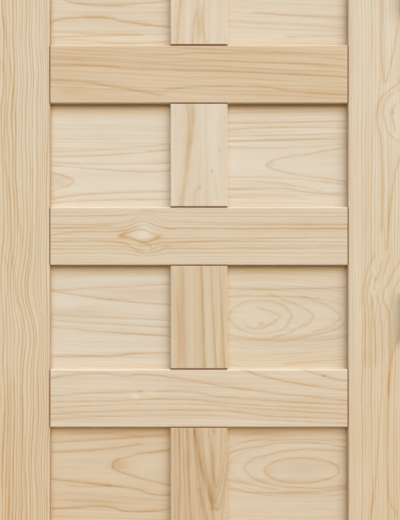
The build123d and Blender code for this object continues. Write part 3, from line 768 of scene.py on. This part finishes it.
        stains=(Patch(135, 396, 3.5, 2.4, -0.35), Patch(100, 385, 60, 6, -0.08)),
        pins=(Patch(140, 391, 2.2, 1.2, 0.35), Patch(324, 375.8, 2.4, 1.1, 0.6)),
    ),
    "panel_right_4": dict(
        u0=469, d0=30.2, slope=-0.06, bend=-0.03, vc=111, curve=20, space=3.6, phase=0.09,
        vary=0.8, wave=1.6, line=0.26, sharp=0.4, seed=15, mean=(216, 192, 159), inner=34.0,
        arches=(Arch(0.42, 0.9, (110.6, 467), 100, 0.108, 200, 0.04),),
        lines=(
            Line(0.48, 1.0, ((50, 481), (84, 484.8), (135, 491.4), (163, 497.5), (171, 496))),
            Line(0.28, 0.8, ((68, 487.6), (92, 489), (109, 487.8))),
            Line(0.48, 1.0, ((50, 511.3), (75, 509.8), (100, 508.4), (131, 514), (171, 511.3))),
            Line(0.33, 0.9, ((50, 444.4), (171, 437))),
            Line(0.33, 0.9, ((50, 454), (92, 452), (137, 446))),
            Line(0.22, 0.8, ((68, 434.6), (92, 434.6), (140, 438))),
        ),
        stains=(
            Patch(105, 503, 60, 5, 0.2), Patch(117, 467.5, 7, 4.5, 0.35),
            Patch(128, 469, 9, 6, 0.12), Patch(150, 465, 25, 9, -0.08),
        ),
    ),
    "panel_left_4": dict(
        u0=472, d0=15, bend=0.31, vc=303, curve=40, space=3.4, phase=0.4, skew=0.1, vary=0.6,
        wave=1.6, ripple=0.9, line=0.3, sharp=0.5, seed=16, mean=(218, 197, 168), inner=27.0,
        loops=(
            Loop(0.38, 0.9, (303, 472.3), (37.5, 12.8)),
            Loop(0.34, 0.9, (314, 470.5), (69, 19.5)),
        ),
        lines=(
            Line(0.33, 0.8, ((226, 456), (261.6, 447.6), (291.8, 443.9), (350, 450))),
            Line(0.22, 0.8, ((226, 447.6), (291.8, 441), (350, 443))),
            Line(0.28, 0.8, ((226, 481), (259.4, 488.2), (275, 491))),
            Line(0.33, 0.9, ((226, 489), (276.7, 495), (350, 489.7))),
        ),
        stains=(
            Patch(290, 496.5, 50, 2.6, 0.16), Patch(262, 435, 28, 4, 0.3), Patch(303, 473, 28, 8, 0.14),
            Patch(270, 473, 5, 3, 0.2),
        ),
    ),
    "mullion_4": dict(
        upright=True, u0=214, d0=14, slope=0.08, vc=470, space=3.4, vary=0.6, wave=1.4, line=0.3,
        sharp=0.3, band=1.3, seed=17, mean=(214, 186, 149), latewood=(0.66, 0.46, 0.22),
        arches=(
            Arch(0.26, 1.1, (510, 216), -130, 0.122, 100, 0.045),
            Arch(0.28, 0.8, (486, 215.5), -90, 0.052, 100, 0.0),
        ),
        lines=(
            Line(0.22, 4.2, ((424, 197), (466, 202), (483, 206), (503, 213))),
            Line(0.33, 0.9, ((424, 194.2), (466, 197.4), (522, 208))),
            Line(0.38, 1.3, ((424, 178.4), (449, 179.7), (522, 179.2))),
            Line(0.22, 0.8, ((424, 174.6), (522, 175.2))),
            Line(0.38, 1.3, ((424, 186.6), (453, 188.6), (474, 188.8), (522, 192))),
            Line(0.22, 0.8, ((424, 183), (522, 185))),
            Line(0.28, 0.9, ((490, 199), (522, 205))),
            Line(0.28, 0.9, ((508, 212), (522, 214.5))),
        ),
        stains=(
            Patch(468, 212.5, 20, 3.5, 0.25), Patch(480, 194.6, 60, 2.0, -0.1),
        ),
        pins=(Patch(508, 216.5, 1.8, 0.9, 0.25),),
    ),
    # Boards outside the photograph
    "top_rail": dict(u0=-205, d0=24, tilt=-0.02, space=4.0, wave=2.0, depth_wave=6, seed=18),
    "cross_rail_4": dict(
        u0=585, d0=22, space=3.6, wave=1.8, depth_wave=7, seed=19, mean=(216, 193, 161),
    ),
    "bottom_rail": dict(u0=760, d0=18, space=4.2, wave=2.4, depth_wave=9, seed=20),
    "mullion_5": dict(
        upright=True, u0=190, d0=22, space=4.4, wave=1.6, depth_wave=8, seed=21,
        mean=(217, 194, 163),
    ),
    "panel_right_5": dict(
        u0=640, d0=22, slope=-0.05, vc=110, space=5.2, vary=0.5, sharp=0.55, seed=22,
        mean=(221, 202, 175),
    ),
    "panel_left_5": dict(
        u0=655, d0=19, bend=0.12, vc=300, curve=30, space=5.6, vary=0.5, sharp=0.55, seed=23,
        mean=(219, 199, 170),
    ),
    "lock_jamb": dict(
        upright=True, u0=-30, d0=36, space=3.0, wave=2.4, depth_wave=8, seed=24,
        mean=(220, 199, 170),
    ),
    "hinge_jamb": dict(
        upright=True, u0=430, d0=30, space=3.2, wave=2.4, depth_wave=8, seed=25,
        mean=(219, 198, 168),
    ),
    "head_jamb": dict(u0=-140, d0=34, space=3.4, wave=2.2, depth_wave=7, seed=26),
    "rail_dowels": dict(u0=0, d0=60, space=2.0, line=0.4, seed=27, mean=(214, 184, 146)),
    "sill_cap": dict(
        u0=820, d0=16, space=2.2, wave=1.6, depth_wave=5, line=0.9, sharp=0.2, seed=28,
        mean=(176, 136, 92),
    ),
}
for node, figure in BOARDS.items():
    figure.update(joint_place(node), face=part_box(node)[1].y)
    dress(node, pine("pine_" + node, **figure))


# Waves a metre in the scratches and smudges of metal, and in the dust on moulded parts
SCRATCH_ACROSS = 2500.0
SCRATCH_ALONG = 60.0
SMUDGE = 40.0
DUST_ASIDE = 18.0
DUST_UP = 9.0


def brushed_metal(name, colour, roughness, along):
    """Satin metal with fine scratches along one axis."""
    material, tree, shader = new_material(name)
    x, y, z = coords(tree)
    scales = [SCRATCH_ALONG if axis == along else SCRATCH_ACROSS for axis in "XYZ"]
    streak = noise(tree, x * scales[0], y * scales[1], z * scales[2], 3.0, 0.6)
    smudge = noise(tree, x * SMUDGE, y * SMUDGE, z * SMUDGE, 2.0)
    shader.inputs["Metallic"].default_value = 1.0
    darker = tuple(c * 0.86 for c in colour[:3]) + (1.0,)
    share = (streak * 0.35 + smudge * 0.3).op("ADD", 0.4, clamp=True)
    tree.links.new(mix_colour(tree, share, colour, darker), shader.inputs["Base Color"])
    plug(tree, shader.inputs["Roughness"], streak * 0.06 + smudge * 0.05 + roughness)
    bump(tree, shader, streak, 0.12, 0.0001)
    return material


def moulded(name, colour, roughness, grain):
    """Matte plastic, foam or composite with a fine pebbled skin."""
    material, tree, shader = new_material(name)
    x, y, z = coords(tree)
    pebble = noise(tree, x * grain, y * grain, z * grain, 3.0, 0.6)
    dust = noise(tree, x * DUST_ASIDE, y * DUST_ASIDE, z * DUST_UP, 3.0)
    light = tuple(c * 1.5 + 0.01 for c in colour[:3]) + (1.0,)
    share = (pebble * 0.25 + dust * 0.35).op("ADD", 0.3, clamp=True)
    tree.links.new(mix_colour(tree, share, colour, light), shader.inputs["Base Color"])
    plug(tree, shader.inputs["Roughness"], pebble * 0.08 + roughness)
    bump(tree, shader, pebble, 0.3, 0.0003)
    return material


steel = brushed_metal("satin_steel", (0.60, 0.585, 0.56, 1.0), 0.34, "Z")
aluminium = brushed_metal("mill_aluminium", (0.72, 0.72, 0.73, 1.0), 0.38, "X")
for node in nodes:
    if node.startswith("hinge_") and node.split("_")[-1] in ("leaf", "pin", "screws"):
        dress(node, steel)
for node in ("frame_screws", "sill_cap_screws"):
    dress(node, steel)
dress("sill_deck", aluminium)
seal = moulded("seal_foam", (0.055, 0.036, 0.022, 1.0), 0.62, 900.0)
for node in ("weatherstrip_hinge_side", "weatherstrip_lock_side", "weatherstrip_head"):
    dress(node, seal)
dress("door_bottom_sweep", moulded("sweep_vinyl", (0.045, 0.034, 0.026, 1.0), 0.5, 1400.0))
dress("sill_base", moulded("composite_core", (0.20, 0.155, 0.115, 1.0), 0.8, 500.0))


def seen_directly(tree):
    """1 for rays from the eye, also by way of metal or glass, and 0 for light on its way to the part."""
    path = tree.nodes.new("ShaderNodeLightPath")
    seen = Num(tree, path.outputs["Is Camera Ray"])
    for ray in ("Is Glossy Ray", "Is Transmission Ray"):
        seen = seen.op("MAXIMUM", Num(tree, path.outputs[ray]))
    return seen


def pale_floor():
    """A plain pale floor that sends only a little warm light back up."""
    material, tree, shader = new_material("floor")
    colour = mix_colour(tree, seen_directly(tree), FLOOR_GLOW, FLOOR_COLOUR)
    tree.links.new(colour, shader.inputs["Base Color"])
    shader.inputs["Roughness"].default_value = FLOOR_ROUGHNESS
    mesh = bpy.data.meshes.new("floor")
    low, high = -FLOOR_HALF, FLOOR_HALF
    corners = [(low, low), (high, low), (high, high), (low, high)]
    mesh.from_pydata([(x, y, FLOOR_Z) for x, y in corners], [], [(0, 1, 2, 3)])
    mesh.materials.append(material)
    floor = bpy.data.objects.new("floor", mesh)
    bpy.context.collection.objects.link(floor)


def studio_sky():
    """A soft sky, brighter on the photograph's right, that leaves the light from below to the floor."""
    world = bpy.data.worlds.new("studio")
    world.use_nodes = True
    bpy.context.scene.world = world
    tree = world.node_tree
    east, north, high = coords(tree, "Generated")
    facing = north.op("ABSOLUTE").step(*SKY_TURN) * (1 - SKY_SIDE) + SKY_SIDE
    height = (high.step(*SKY_RISE) * (1 - SKY_LOW) + SKY_LOW) * high.step(*HORIZON)
    height = height * (1 - high.step(*SKY_CROWN) * (1 - SKY_TOP))
    level = (1 - east * SKY_LEAN) * height * facing * SKY_LEVEL
    seen = seen_directly(tree)
    background = tree.nodes["Background"].inputs
    background["Color"].default_value = SKY_COLOUR
    plug(tree, background["Strength"], level * (1 - seen) + seen * BACKDROP)


def photo_camera():
    """A camera straight in front of the leaf, framed as the photograph is."""
    lens = bpy.data.cameras.new("camera")
    lens.lens = lens.sensor_width * CAMERA_DISTANCE / (IMAGE_H * PIXEL)
    camera = bpy.data.objects.new("camera", lens)
    camera.location = (
        (MID_X - IMAGE_W / 2) * PIXEL,
        FACE_Y + CAMERA_DISTANCE,
        RAIL_Z - (IMAGE_H / 2 - RAIL_Y) * PIXEL,
    )
    camera.rotation_euler = (math.radians(90), 0, math.radians(180))
    bpy.context.collection.objects.link(camera)
    bpy.context.scene.camera = camera


pale_floor()
studio_sky()
photo_camera()
bpy.context.scene.view_settings.view_transform = "Standard"
